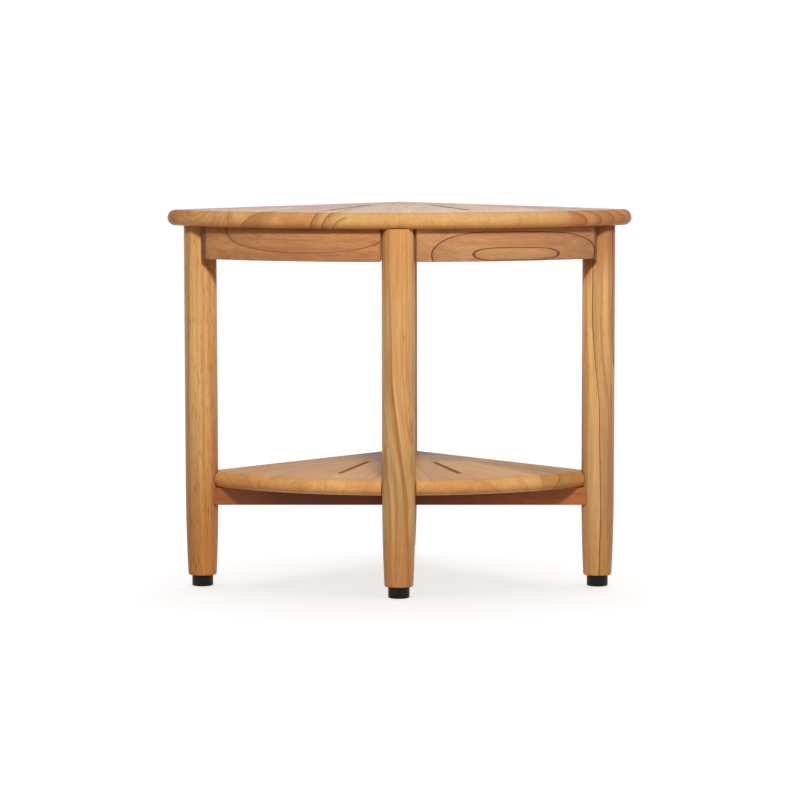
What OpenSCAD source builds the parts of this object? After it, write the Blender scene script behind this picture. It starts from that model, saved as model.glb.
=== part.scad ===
// Corner stool in oiled teak: a fan shaped seat and a smaller fan shaped shelf, each glued up from
// wedge boards, on four round legs, with levelling feet.
// The floor is z = 0. The front faces -Y and the wall corner is at +Y. The origin is on the floor,
// under the middle of the seat's outline.

/* [Seat] */
// Height of the seat's top above the floor
seat_h = 457; // [400:1:500]
// Length of the seat along each wall, from the wall corner to the curved front edge
seat_r = 408; // [398:1:420]
// Thickness of the seat's boards
seat_t = 19; // [16:0.5:19.5]
// Radius of the two front tips, seen from above
tip_r = 20; // [20:0.5:26]
// Radius of the back corner, seen from above
corner_r = 20; // [20:0.5:30]
// Length of the seat's corner block, from the wall corner to its front line
seat_block_len = 135; // [120:1:150]
// Uncut wood between the front end of a seat slot and the front edge
seat_slot_land = 82; // [60:1:110]

/* [Shelf] */
// Height of the shelf's top above the floor
shelf_h = 140; // [125:1:200]
// Distance of the shelf's curved front edge behind the seat's, on the middle line
shelf_front_inset = 20.5; // [16:0.5:25]
// Thickness of the shelf's boards
shelf_t = 19; // [16:0.5:24]
// Distance of the shelf's straight sides inside the seat's straight sides
shelf_wall_inset = 32; // [30:0.5:34]
// Length of the shelf's corner block, from its corner to its front line
shelf_block_len = 147; // [140:1:155]
// Uncut wood between the front end of a shelf slot and the front edge
shelf_slot_land = 61; // [50:1:80]
// Gap between the shelf and the legs that it is notched around
notch_gap = 1.2; // [0.6:0.1:2]

/* [Boards] */
// Width of a drain slot
slot_w = 7; // [5:0.5:9]
// Diameter of the dowels between the boards and the corner block
dowel_d = 8; // [6:0.5:9]
// Length of those dowels
dowel_l = 32; // [24:1:40]
// Gap round a dowel
dowel_gap = 0.1; // [0.05:0.05:0.2]

/* [Legs] */
// Diameter of a leg
leg_d = 39.5; // [36:0.5:42]
// Diameter of a leg's lower end
leg_end_d = 34.5; // [31:0.5:35.5]
// Length of the curved taper at a leg's lower end
leg_taper_l = 105; // [70:1:120]
// Rounding of the leg's lower rim
leg_rim_r = 2; // [1:0.5:3]
// Distance of the leg centres inside the seat's straight sides
leg_wall_inset = 36.5; // [34:0.5:39]
// Distance of the side legs' centres behind the curved front edge
side_leg_inset = 30; // [28:0.5:32]
// Distance of the front leg's centre behind the curved front edge
front_leg_inset = 22; // [22:0.5:26]

/* [Aprons] */
// Height of the aprons
apron_h = 39; // [32:1:50]
// Thickness of the aprons
apron_t = 20; // [16:0.5:24]
// Distance of the curved aprons' outer faces behind the front edge
apron_inset = 12; // [12:0.5:16]
// Rounding of an apron's lower corners at the side and back legs
apron_corner_r = 6; // [3:0.5:6]
// Rounding of the curved aprons' lower corners at the front leg
front_corner_r = 2.5; // [1:0.5:6]
// Thickness of a tenon
tenon_t = 9; // [7:0.5:11]
// Height of a tenon
tenon_h = 26; // [20:1:26]
// Length of a tenon
tenon_l = 13; // [9:0.5:13]
// Gap between a tenon and its mortise, on every side
tenon_gap = 0.15; // [0.05:0.05:0.3]
// Gap between a shoulder and the leg's round face
shoulder_gap = 0.3; // [0.1:0.1:0.6]

/* [Rails] */
// Height of the two rails that carry the shelf
rail_h = 21; // [18:0.5:26]
// Thickness of those rails
rail_t = 26; // [20:0.5:28]
// Depth that a rail is let into a leg
rail_in = 10; // [8.5:0.5:11]
// Gap round a rail's end in its leg, and in the lap where the rails cross
rail_gap = 0.15; // [0.05:0.05:0.3]

/* [Screws] */
// Diameter of a screw's shank
screw_d = 4; // [3.5:0.1:4.5]
// Diameter of a screw's head
screw_head_d = 8; // [7:0.1:8.5]
// Height of a screw's head
screw_head_h = 3; // [2:0.1:4]
// Length of a screw's shank that sits in the panel
screw_bite = 12; // [9:0.5:13]
// Depth of the counterbore in an apron's lower edge
apron_bore_h = 20; // [14:1:26]
// Depth of the counterbore in a rail's underside
rail_bore_h = 6; // [5:0.5:8]
// Gap round a screw's head and its shank
screw_gap = 0.25; // [0.1:0.05:0.4]
// Gap round a screw's shank in the panel
pilot_gap = 0.05; // [0.05:0.01:0.1]

/* [Feet] */
// Diameter of a foot pad
foot_d = 25.5; // [22:0.5:30]
// Height of a foot pad
foot_h = 13; // [10:0.5:18]
// Rounding of a foot pad's rims
foot_rim_r = 1.2; // [0.6:0.1:2]
// Gap between a foot pad and the leg when the foot is screwed right in
foot_gap = 0.4; // [0.3:0.1:1]
// How far a foot screws out
foot_travel = 10; // [5:1:12]
// Diameter of a foot's threaded stud
stud_d = 8; // [6:1:10]
// Depth that the stud sits in the pad
stud_in = 10; // [7:0.5:10]
// Gap round the stud, in the insert and in the pad
stud_gap = 0.06; // [0.03:0.01:0.09]
// Outer diameter of the insert in the leg's end
insert_d = 12; // [11:0.5:14]
// Length of the insert
insert_l = 15; // [12:1:18]

/* [Hidden] */
$fn = 96;
far = 900;
// A rounded corner is this much smaller than a circle that just touches its sides
corner_ease = 0.1;
// Clear space round a stud in the leg above its insert
stud_room = 0.5;
// Each panel is a quarter of a disc, in boards of equal angle on each side of the middle
half_fan = 45;
board_count = 3;
board_angle = half_fan / board_count;
// Number of boards on each side between the middle and the slot
slot_board = 1;

// The wall corner, where the seat's straight sides would meet, and the shelf's own corner
corner_y = (seat_r + corner_r * (sqrt(2) - 1)) / 2;
shelf_corner_y = corner_y - shelf_wall_inset * sqrt(2);
// Length of the shelf along each side, from its own corner to its curved front edge
shelf_r = seat_r - shelf_wall_inset * sqrt(2) - shelf_front_inset;
seat_z = seat_h - seat_t;
shelf_z = shelf_h - shelf_t;

// Leg centres
leg_r = leg_d / 2;
leg_z = foot_h + foot_gap;
leg_l = seat_z - leg_z;
// Length of a stud above its pad: the foot can screw out by its travel and still fill the insert
stud_l = foot_gap + insert_l + foot_travel;
side_leg_r = seat_r - side_leg_inset;
side_leg_turn = half_fan - asin(leg_wall_inset / side_leg_r);
side_leg_x = side_leg_r * sin(side_leg_turn);
side_leg_y = corner_y - side_leg_r * cos(side_leg_turn);
front_leg_y = corner_y - seat_r + front_leg_inset;
back_leg_y = corner_y - leg_wall_inset * sqrt(2);
LEG_PLACES = [[-side_leg_x, side_leg_y], [side_leg_x, side_leg_y], [0, front_leg_y], [0, back_leg_y]];

// Aprons, whose tenons stop clear of the leg's middle
apron_z = seat_z - apron_h;
apron_r = seat_r - apron_inset;
apron_mid_r = apron_r - apron_t / 2;
shoulder = leg_r + shoulder_gap;
tenon_z = apron_z + (apron_h - tenon_h) / 2;
side_tenon_out = apron_mid_r - side_leg_r;
front_tenon_out = apron_mid_r - (seat_r - front_leg_inset);
back_span = norm([side_leg_x, back_leg_y - side_leg_y]);
back_turn = atan2(back_leg_y - side_leg_y, side_leg_x);

// Rails
rail_z = shelf_z - rail_h;
rail_end = leg_r - rail_in;
lap_y = side_leg_y;

// Screw places: one under each board, and two under each side of the corner blocks. Those on the
// straight bars are given as shares of the bar's or the block's length.
apron_screw_turns = [8.5, 22, 33];
back_screw_offsets = [for (share = [-0.25, 0.25]) share * back_span];
cross_screw_xs = [for (share = [0.13, 0.44, 0.78]) share * side_leg_x];
centre_screw_ys = [for (share = [0.41, 0.71]) shelf_corner_y - share * shelf_block_len];

// Height of the screws' head seats, and where the dowels cross the front line of a corner block
apron_seat_z = apron_z + apron_bore_h;
rail_seat_z = rail_z + rail_bore_h;
dowel_turns = [for (i = [0:board_count - 1]) (i + 0.5) * board_angle];

TEAK = "peru";
PALE_TEAK = "burlywood";
DARK_TEAK = "sienna";

// A point at a distance from a panel's corner, at a turn from the middle line towards +X
function fan_point(r, turn) = [r * sin(turn), -r * cos(turn)];

// Children on the left are the mirror image of those on the right
module on_side(right) {
    if (right) children();
    else mirror([1, 0, 0]) children();
}

// Section of a board from its back to its half round edge at x = r
module edge_section(r, t) {
    square([r - t / 2, t]);
    intersection() {
        translate([r - t / 2, t / 2]) circle(d = t);
        translate([r - t / 2, 0]) square([t, t]);
    }
}

// A round disc with a half round rim
module rimmed_disc(r, t) {
    rotate_extrude() edge_section(r, t);
}

// Everything inside one straight side of a panel, with that side's half round edge
module side_slab(r, t) {
    rotate([0, 0, -half_fan])
        translate([-r / 2, -r, 0])
            rotate([90, 0, 90])
                linear_extrude(2 * r) edge_section(r, t);
}

// A tall wedge from the panel's corner, between two turns from the middle line
module wedge(turn_a, turn_b, t) {
    translate([0, 0, -t])
        linear_extrude(3 * t)
            polygon([[0, 0], fan_point(far, turn_a), fan_point(far, turn_b)]);
}

// Everything behind the front line of a corner block
module behind_line(block_len, t) {
    translate([-far / 2, -block_len, -t]) cube([far, far, 3 * t]);
}

// The wedge between two directions at a corner that gets rounded
module corner_wedge(r, turn_a, turn_b, t) {
    turn_mid = (turn_a + turn_b) / 2;
    translate([0, 0, -t])
        linear_extrude(3 * t)
            polygon([
                [0, 0],
                2 * r * [cos(turn_a), sin(turn_a)],
                3 * r * [cos(turn_mid), sin(turn_mid)],
                2 * r * [cos(turn_b), sin(turn_b)]
            ]);
}

// A slot from the block's line to a round end, along the joint at one turn
module slot_cut(turn, r_end, t) {
    rotate([0, 0, turn]) {
        translate([0, -(r_end - slot_w / 2), -t]) cylinder(d = slot_w, h = 3 * t);
        translate([-slot_w / 2, -(r_end - slot_w / 2), -t]) cube([slot_w, r_end - slot_w / 2, 3 * t]);
    }
}

// The dowels between the boards and the corner block, made larger all round by a gap
module dowel_rods(block_len, t, gap) {
    for (turn = dowel_turns, side = [-1, 1])
        translate([side * block_len * tan(turn), -block_len + dowel_l / 2 + gap, t / 2])
            rotate([90, 0, 0]) cylinder(d = dowel_d + 2 * gap, h = dowel_l + 2 * gap);
}

// One wedge board on the right of the middle line, its corner at the origin
module fan_board(i, r, t, block_len, slot_end) {
    difference() {
        intersection() {
            rimmed_disc(r, t);
            wedge(i * board_angle, (i + 1) * board_angle, t);
            if (i == board_count - 1) side_slab(r, t);
        }
        behind_line(block_len, t);
        if (i <= slot_board) slot_cut(slot_board * board_angle, slot_end, t);
        dowel_rods(block_len, t, dowel_gap);
    }
}

// The outer board of the seat, whose front tip is rounded
module tipped_board(r, t, block_len) {
    tip_mid_r = r - tip_r;
    tip_turn = half_fan - asin(tip_r / tip_mid_r);
    difference() {
        fan_board(board_count - 1, r, t, block_len, 0);
        translate(fan_point(tip_mid_r, tip_turn)) corner_wedge(tip_r, tip_turn - 90, half_fan, t);
    }
    translate(fan_point(tip_mid_r, tip_turn)) rimmed_disc(tip_r - corner_ease, t);
}

// The corner block, its corner at the origin
module fan_block(r, t, block_len) {
    difference() {
        intersection() {
            side_slab(r, t);
            mirror([1, 0, 0]) side_slab(r, t);
            behind_line(block_len, t);
        }
        dowel_rods(block_len, t, dowel_gap);
    }
}

// The seat's corner block, whose back corner is rounded
module rounded_block(r, t, block_len) {
    corner_mid = [0, -corner_r * sqrt(2)];
    difference() {
        fan_block(r, t, block_len);
        translate(corner_mid) corner_wedge(corner_r, half_fan, 180 - half_fan, t);
    }
    translate(corner_mid) rimmed_disc(corner_r - corner_ease, t);
}

module at_seat() {
    translate([0, corner_y, seat_z]) children();
}

module at_shelf() {
    translate([0, shelf_corner_y, shelf_z]) children();
}

// Clear space round the legs where the shelf is notched
module leg_notches() {
    for (p = LEG_PLACES)
        translate([p[0], p[1], shelf_z - shelf_t]) cylinder(r = leg_r + notch_gap, h = 3 * shelf_t);
}

module seat_board(i, right) {
    color(i % 2 == 0 ? TEAK : PALE_TEAK)
        difference() {
            at_seat() on_side(right) {
                if (i == board_count - 1) tipped_board(seat_r, seat_t, seat_block_len);
                else fan_board(i, seat_r, seat_t, seat_block_len, seat_r - seat_slot_land);
            }
            seat_screw_set(pilot_gap);
        }
}

module shelf_board(i, right) {
    color(i % 2 == 0 ? TEAK : PALE_TEAK)
        difference() {
            at_shelf() on_side(right)
                fan_board(i, shelf_r, shelf_t, shelf_block_len, shelf_r - shelf_slot_land);
            leg_notches();
            shelf_screw_set(pilot_gap);
        }
}

module seat_corner_block() {
    color(DARK_TEAK)
        difference() {
            at_seat() rounded_block(seat_r, seat_t, seat_block_len);
            seat_screw_set(pilot_gap);
        }
}

module shelf_corner_block() {
    color(DARK_TEAK)
        difference() {
            at_shelf() fan_block(shelf_r, shelf_t, shelf_block_len);
            leg_notches();
            shelf_screw_set(pilot_gap);
        }
}

// Half section of a leg: a straight round bar, a taper that curves in towards the floor, and a
// rounded lower rim
module leg_section() {
    rim_steps = 5;
    taper_steps = 6;
    end_r = leg_end_d / 2;
    rim = [for (k = [0:rim_steps]) let (a = 90 * k / rim_steps)
        [end_r - leg_rim_r + leg_rim_r * sin(a), leg_rim_r - leg_rim_r * cos(a)]];
    taper = [for (k = [1:taper_steps]) let (left = 1 - k / taper_steps)
        [leg_r - (leg_r - end_r) * left * left, leg_taper_l - (leg_taper_l - leg_rim_r) * left]];
    polygon(concat([[0, 0]], rim, taper, [[leg_r, leg_l], [0, leg_l]]));
}

// A place on the right side leg: +X along the curved apron, +Y out towards the front edge
module at_side_leg() {
    translate([side_leg_x, side_leg_y, 0]) rotate([0, 0, 180 + side_leg_turn]) children();
}

// A place on the right side leg: +X along the straight apron, towards the back leg
module at_back_span() {
    translate([side_leg_x, side_leg_y, 0]) rotate([0, 0, 180 - back_turn]) children();
}

// A tenon that reaches back from a shoulder into a leg
module tenon(out, gap) {
    translate([shoulder - tenon_l - gap, out - tenon_t / 2 - gap, tenon_z - gap])
        cube([tenon_l + shoulder_gap + gap + 1, tenon_t + 2 * gap, tenon_h + 2 * gap]);
}

// Tenons of the curved and straight aprons on the right
module front_tenons(gap) {
    at_side_leg() tenon(side_tenon_out, gap);
    translate([0, front_leg_y, 0]) tenon(-front_tenon_out, gap);
}

module back_tenons(gap) {
    at_back_span() {
        tenon(0, gap);
        translate([back_span, 0, 0]) mirror([1, 0, 0]) tenon(0, gap);
    }
}

// The two bars of the shelf's frame, from middle to end of each
module cross_bar(gap) {
    bar = side_leg_x - rail_end + gap;
    translate([-bar, side_leg_y - rail_t / 2 - gap, rail_z - gap])
        cube([2 * bar, rail_t + 2 * gap, rail_h + 2 * gap]);
}

module centre_bar(gap) {
    y_front = front_leg_y + rail_end - gap;
    y_back = back_leg_y - rail_end + gap;
    translate([-rail_t / 2 - gap, y_front, rail_z - gap])
        cube([rail_t + 2 * gap, y_back - y_front, rail_h + 2 * gap]);
}

module leg(place) {
    color(TEAK)
        difference() {
            translate([place[0], place[1], leg_z]) rotate_extrude() leg_section();
            for (right = [true, false]) on_side(right) {
                front_tenons(tenon_gap);
                back_tenons(tenon_gap);
            }
            cross_bar(rail_gap);
            centre_bar(rail_gap);
            translate([place[0], place[1], leg_z - 1]) cylinder(d = insert_d, h = insert_l + 1);
            translate([place[0], place[1], leg_z - 1])
                cylinder(d = stud_d + 2 * stud_room, h = stud_l + 1 + 2 * stud_room);
        }
}

// What is cut from an apron's lower corner, its shoulder at x = 0 and its lower edge at z = 0
module corner_cut(r, thick) {
    difference() {
        translate([-1, -thick, -1]) cube([r + 1, 2 * thick, r + 1]);
        translate([r, thick + 1, r]) rotate([90, 0, 0]) cylinder(r = r, h = 2 * thick + 2);
    }
}

// Everything beyond a shoulder, its leg's middle at x = 0
module beyond_shoulder() {
    translate([shoulder, -far / 2, 0]) cube([far, far, seat_h]);
}

module front_apron(right) {
    color(DARK_TEAK) on_side(right)
        difference() {
            union() {
                intersection() {
                    translate([0, corner_y, apron_z])
                        difference() {
                            cylinder(r = apron_r, h = apron_h);
                            translate([0, 0, -1]) cylinder(r = apron_r - apron_t, h = apron_h + 2);
                        }
                    beyond_shoulder();
                    at_side_leg() beyond_shoulder();
                }
                front_tenons(0);
            }
            translate([shoulder, front_leg_y, apron_z]) corner_cut(front_corner_r, 2 * apron_t);
            at_side_leg() translate([shoulder, 0, apron_z]) corner_cut(apron_corner_r, 2 * apron_t);
            apron_screw_holes();
        }
}

module back_apron(right) {
    color(DARK_TEAK) on_side(right)
        difference() {
            union() {
                at_back_span()
                    translate([shoulder, -apron_t / 2, apron_z])
                        cube([back_span - 2 * shoulder, apron_t, apron_h]);
                back_tenons(0);
            }
            at_back_span() {
                translate([shoulder, 0, apron_z]) corner_cut(apron_corner_r, apron_t);
                translate([back_span - shoulder, 0, apron_z])
                    mirror([1, 0, 0]) corner_cut(apron_corner_r, apron_t);
            }
            apron_screw_holes();
        }
}

// The cross rail keeps its lower half where the rails cross, and the centre rail its upper half
module cross_rail() {
    color(TEAK)
        difference() {
            cross_bar(0);
            translate([-rail_t / 2 - rail_gap, lap_y - rail_t, rail_z + rail_h / 2])
                cube([rail_t + 2 * rail_gap, 2 * rail_t, rail_h]);
            shelf_screw_holes();
        }
}

module centre_rail() {
    color(PALE_TEAK)
        difference() {
            centre_bar(0);
            translate([-rail_t, lap_y - rail_t / 2 - rail_gap, rail_z - rail_h / 2])
                cube([2 * rail_t, rail_t + 2 * rail_gap, rail_h]);
            shelf_screw_holes();
        }
}

// A screw that points up, its head's upper face at z = 0
module screw(grip, gap) {
    translate([0, 0, -screw_head_h]) cylinder(d = screw_head_d + 2 * gap, h = screw_head_h);
    cylinder(d = screw_d + 2 * gap, h = grip + screw_bite + gap);
}

// A counterbore and a clearance hole for that screw
module screw_hole(grip, bore_h) {
    translate([0, 0, -bore_h - 1]) cylinder(d = screw_head_d + 2 * screw_gap, h = bore_h + 1);
    cylinder(d = screw_d + 2 * screw_gap, h = grip + 1);
}

// Places of the screws under the right half of the seat
module at_apron_screws() {
    for (turn = apron_screw_turns)
        translate([0, corner_y, apron_seat_z])
            translate(fan_point(apron_mid_r, turn)) children();
    for (offset = back_screw_offsets)
        at_back_span() translate([back_span / 2 + offset, 0, apron_seat_z]) children();
}

module at_shelf_screws() {
    for (x = cross_screw_xs, side = [-1, 1])
        translate([side * x, side_leg_y, rail_seat_z]) children();
    for (y = centre_screw_ys)
        translate([0, y, rail_seat_z]) children();
}

module apron_screw_holes() {
    at_apron_screws() screw_hole(apron_h - apron_bore_h, apron_bore_h);
}

// Screws of the whole seat, made larger all round by a gap
module seat_screw_set(gap) {
    for (right = [true, false]) on_side(right)
        at_apron_screws() screw(apron_h - apron_bore_h, gap);
}

module shelf_screw_set(gap) {
    at_shelf_screws() screw(rail_h - rail_bore_h, gap);
}

module shelf_screw_holes() {
    at_shelf_screws() screw_hole(rail_h - rail_bore_h, rail_bore_h);
}

module seat_dowels() {
    color(PALE_TEAK) at_seat() dowel_rods(seat_block_len, seat_t, 0);
}

module shelf_dowels() {
    color(PALE_TEAK) at_shelf() dowel_rods(shelf_block_len, shelf_t, 0);
}

module seat_screws() {
    color("silver") seat_screw_set(0);
}

module shelf_screws() {
    color("silver") shelf_screw_set(0);
}

module leg_inserts() {
    color("goldenrod")
        for (p = LEG_PLACES) translate([p[0], p[1], leg_z])
            difference() {
                cylinder(d = insert_d, h = insert_l);
                translate([0, 0, -1]) cylinder(d = stud_d, h = insert_l + 2);
            }
}

// The stud sits in the pad, and reaches up through the insert
module foot_stud(place) {
    color("lightgray") translate([place[0], place[1], foot_h - stud_in + stud_gap])
        cylinder(d = stud_d - 2 * stud_gap, h = stud_in + stud_l - stud_gap);
}

// Half section of a foot pad with rounded rims
module foot_section() {
    rim_steps = 5;
    foot_r = foot_d / 2;
    low = [for (k = [0:rim_steps]) let (a = 90 * k / rim_steps)
        [foot_r - foot_rim_r + foot_rim_r * sin(a), foot_rim_r - foot_rim_r * cos(a)]];
    high = [for (k = [0:rim_steps]) let (a = 90 * k / rim_steps)
        [foot_r - foot_rim_r + foot_rim_r * cos(a), foot_h - foot_rim_r + foot_rim_r * sin(a)]];
    polygon(concat([[0, 0]], low, high, [[0, foot_h]]));
}

module foot_pad(place) {
    color("dimgray") translate([place[0], place[1], 0])
        difference() {
            rotate_extrude() foot_section();
            translate([0, 0, foot_h - stud_in]) cylinder(d = stud_d, h = stud_in + 1);
        }
}

seat_board(2, false);  // seat_board_left_outer
seat_board(1, false);  // seat_board_left_middle
seat_board(0, false);  // seat_board_left_inner
seat_board(0, true);  // seat_board_right_inner
seat_board(1, true);  // seat_board_right_middle
seat_board(2, true);  // seat_board_right_outer
seat_corner_block();
shelf_board(2, false);  // shelf_board_left_outer
shelf_board(1, false);  // shelf_board_left_middle
shelf_board(0, false);  // shelf_board_left_inner
shelf_board(0, true);  // shelf_board_right_inner
shelf_board(1, true);  // shelf_board_right_middle
shelf_board(2, true);  // shelf_board_right_outer
shelf_corner_block();
leg(LEG_PLACES[0]);  // leg_left
leg(LEG_PLACES[1]);  // leg_right
leg(LEG_PLACES[2]);  // leg_front
leg(LEG_PLACES[3]);  // leg_back
front_apron(false);  // front_apron_left
front_apron(true);  // front_apron_right
back_apron(false);  // back_apron_left
back_apron(true);  // back_apron_right
cross_rail();
centre_rail();
seat_dowels();
shelf_dowels();
seat_screws();
shelf_screws();
leg_inserts();
foot_stud(LEG_PLACES[0]);  // foot_stud_left
foot_stud(LEG_PLACES[1]);  // foot_stud_right
foot_stud(LEG_PLACES[2]);  // foot_stud_front
foot_stud(LEG_PLACES[3]);  // foot_stud_back
foot_pad(LEG_PLACES[0]);  // foot_pad_left
foot_pad(LEG_PLACES[1]);  // foot_pad_right
foot_pad(LEG_PLACES[2]);  // foot_pad_front
foot_pad(LEG_PLACES[3]);  // foot_pad_back
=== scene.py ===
# %% [markdown]
# # A teak corner stool
# The packed model already holds every board, leg, rail and foot at its real size. This script
# leaves those solids where they are and gives them what a solid can't have: wood that was once
# a tree, steel, brass and rubber, cut threads, eased edges, a floor, soft light and a camera.

# %% Load the packed model
import math
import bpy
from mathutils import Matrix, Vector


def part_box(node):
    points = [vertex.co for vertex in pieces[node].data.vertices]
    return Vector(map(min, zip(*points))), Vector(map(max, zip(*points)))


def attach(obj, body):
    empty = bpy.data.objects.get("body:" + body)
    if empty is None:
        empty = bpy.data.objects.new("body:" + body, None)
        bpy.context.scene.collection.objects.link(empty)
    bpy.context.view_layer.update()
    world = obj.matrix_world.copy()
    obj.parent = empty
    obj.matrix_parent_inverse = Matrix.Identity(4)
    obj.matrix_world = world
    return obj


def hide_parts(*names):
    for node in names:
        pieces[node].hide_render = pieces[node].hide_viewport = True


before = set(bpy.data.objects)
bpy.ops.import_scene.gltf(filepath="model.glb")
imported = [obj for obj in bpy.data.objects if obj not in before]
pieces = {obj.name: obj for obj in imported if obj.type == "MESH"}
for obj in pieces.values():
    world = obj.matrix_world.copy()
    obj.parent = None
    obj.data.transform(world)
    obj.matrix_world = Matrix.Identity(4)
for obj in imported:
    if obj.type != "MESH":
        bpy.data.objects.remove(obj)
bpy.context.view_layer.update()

from types import SimpleNamespace

import bmesh
import bpy
from mathutils import Matrix, Vector


# %% [markdown]
# ## The camera
# The photograph looks at the front leg from a little over the seat, from far away, with a long
# lens. A camera like that is a place, the three directions it holds its picture in, and a lens.
# The angles were fitted to the outline of the legs, the seat and the shelf. The directions go
# into a matrix, so nobody has to remember in which order three Euler angles turn.

# %% Place the camera
LENS_MM = 140.3
SENSOR_MM = 36
FAR_END = 50.0       # nothing farther away than this is drawn
TURN = -0.01236      # how far the camera looks to the side, in radians
PITCH = 0.09755      # how far the camera looks down
ROLL = -0.00149      # how far the picture leans
CAMERA_AT = Vector((0.04697, -3.84134, 0.59424))


def put(name, data):
    """Make an object of this data and put it into the scene."""
    thing = bpy.data.objects.new(name, data)
    bpy.context.scene.collection.objects.link(thing)
    return thing


def camera_directions():
    """The picture's right and its up, and the way the camera looks."""
    plumb = Vector((0, 0, 1))
    right = Vector((math.cos(TURN), -math.sin(TURN), 0))
    level = Vector((math.sin(TURN), math.cos(TURN), 0))
    up = math.sin(PITCH) * level + math.cos(PITCH) * plumb
    ahead = math.cos(PITCH) * level - math.sin(PITCH) * plumb
    leaning_right = math.cos(ROLL) * right + math.sin(ROLL) * up
    leaning_up = math.cos(ROLL) * up - math.sin(ROLL) * right
    return leaning_right, leaning_up, ahead


def place_camera():
    lens = bpy.data.cameras.new("camera")
    lens.lens = LENS_MM
    lens.sensor_width = SENSOR_MM
    lens.clip_end = FAR_END
    right, up, ahead = camera_directions()
    held = Matrix((right, up, -ahead)).transposed().to_4x4()
    camera = put("camera", lens)
    camera.matrix_world = Matrix.Translation(CAMERA_AT) @ held
    bpy.context.scene.camera = camera
    return camera


camera = place_camera()
print("camera at", [round(v, 3) for v in camera.location], "lens", LENS_MM, "mm")

# %% [markdown]
# ## Wiring nodes
# In Blender a material is a tree of nodes, and so is the light of the room. Each node has sockets,
# and a socket takes either a plain value or a link from another node. Wiring a tree by hand takes
# three lines for each node, and the wood has more than eighty. So these helpers plug in whatever
# they are given: a plain value is set on the node's own socket, and a result is linked to it.

# %% Wire nodes
class Wiring:
    """One tree of nodes, and what plugs values into them."""

    def __init__(self, tree):
        self.tree = tree

    def node(self, kind, **settings):
        made = self.tree.nodes.new("ShaderNode" + kind)
        for key, value in settings.items():
            setattr(made, key, value)
        return made

    def plug(self, value, socket):
        if isinstance(value, bpy.types.NodeSocket):
            self.tree.links.new(value, socket)
        else:
            socket.default_value = value

    def fill(self, made, values):
        """Plug values into a node's sockets, by the sockets' names."""
        for name, value in values.items():
            self.plug(value, made.inputs[name])
        return made

    def feed(self, made, *values):
        """Plug values into a node's sockets, one after another."""
        for value, socket in zip(values, made.inputs):
            self.plug(value, socket)
        return made


print("wiring words:", [word for word in vars(Wiring) if not word.startswith("_")])

# %% [markdown]
# ## A bench for materials
# A maker's bench has the few tools in reach that every job needs. This one has a short word for
# each kind of node, so a recipe can be read like a sum: a product, a ramp from one value to
# another, a blend of two colours, a noise. The last word ends a material with its shader.

# %% Set up the bench
class Bench(Wiring):
    """Short words for sums, patterns and finishes."""

    def maths(self, how, *values):
        return self.feed(self.node("Math", operation=how), *values).outputs[0]

    def product(self, first, *others):
        for other in others:
            first = self.maths("MULTIPLY", first, other)
        return first

    def vector(self, how, *values):
        made = self.feed(self.node("VectorMath", operation=how), *values)
        return made.outputs["Value" if how in ("DOT_PRODUCT", "LENGTH") else "Vector"]

    def join(self, x, y, z):
        return self.feed(self.node("CombineXYZ"), x, y, z).outputs[0]

    def place(self):
        """Where a point lies, in the frame that all pieces share."""
        return self.node("TexCoord").outputs["Object"]

    def noise(self, at, detail=2.0, rough=0.5):
        made = self.node("TexNoise", noise_dimensions="3D")
        self.fill(made, {"Vector": at, "Scale": 1.0, "Detail": detail, "Roughness": rough})
        return made.outputs["Fac"]

    def ramp(self, value, low, high, to_low=0.0, to_high=1.0):
        made = self.node("MapRange", interpolation_type="SMOOTHSTEP")
        return self.feed(made, value, low, high, to_low, to_high).outputs[0]

    def blend(self, share, a, b, kind="RGBA", how="MIX"):
        made = self.node("Mix", data_type=kind, blend_type=how)
        return self.fill(made, {"Factor": share, "A": a, "B": b}).outputs["Result"]

    def finish(self, surface, relief=None, strength=0.0, depth=0.0):
        """End the tree with a shader, and with a relief that bends its light."""
        shader = self.fill(self.node("BsdfPrincipled"), surface)
        if relief is not None:
            bump = self.node("Bump")
            self.fill(bump, {"Strength": strength, "Distance": depth, "Height": relief})
            self.plug(bump.outputs[0], shader.inputs["Normal"])
        self.plug(shader.outputs[0], self.node("OutputMaterial").inputs["Surface"])


def paint(name):
    """A new material with an empty tree."""
    material = bpy.data.materials.new(name)
    material.use_nodes = True
    material.node_tree.nodes.clear()
    return material


print("bench ready, its words:", [word for word in vars(Bench) if not word.startswith("_")])

# %% [markdown]
# ## The floor
# The picture has a white floor that only shows where the stool shades it. A floor of plain white
# paint would go grey far too soon, so this one also glows: its shadow stays soft and light, as on
# a lit table in a studio. Its glow is switched off for diffuse rays, because the undersides of
# the real stool are dark, and a bright floor would light them. It stops no light either, so a
# lamp can shine up through it.

# %% Lay the floor
WHITE = (1, 1, 1, 1)
FLOOR_WIDTH = 30.0
FLOOR_PAINT = (0.5, 0.5, 0.5, 1)
FLOOR_GLOW = 0.71


def lay_floor():
    half = FLOOR_WIDTH / 2
    corners = [(-half, -half, 0), (half, -half, 0), (half, half, 0), (-half, half, 0)]
    mesh = bpy.data.meshes.new("floor")
    mesh.from_pydata(corners, [], [(0, 1, 2, 3)])
    material = paint("white floor")
    Bench(material.node_tree).finish({
        "Base Color": FLOOR_PAINT, "Roughness": 0.9, "Specular IOR Level": 0.0,
        "Emission Color": WHITE, "Emission Strength": FLOOR_GLOW})
    mesh.materials.append(material)
    floor = put("floor", mesh)
    floor.visible_diffuse = False
    floor.visible_shadow = False
    return floor


floor = lay_floor()
print("floor:", floor.name, FLOOR_WIDTH, "m wide")

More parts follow.
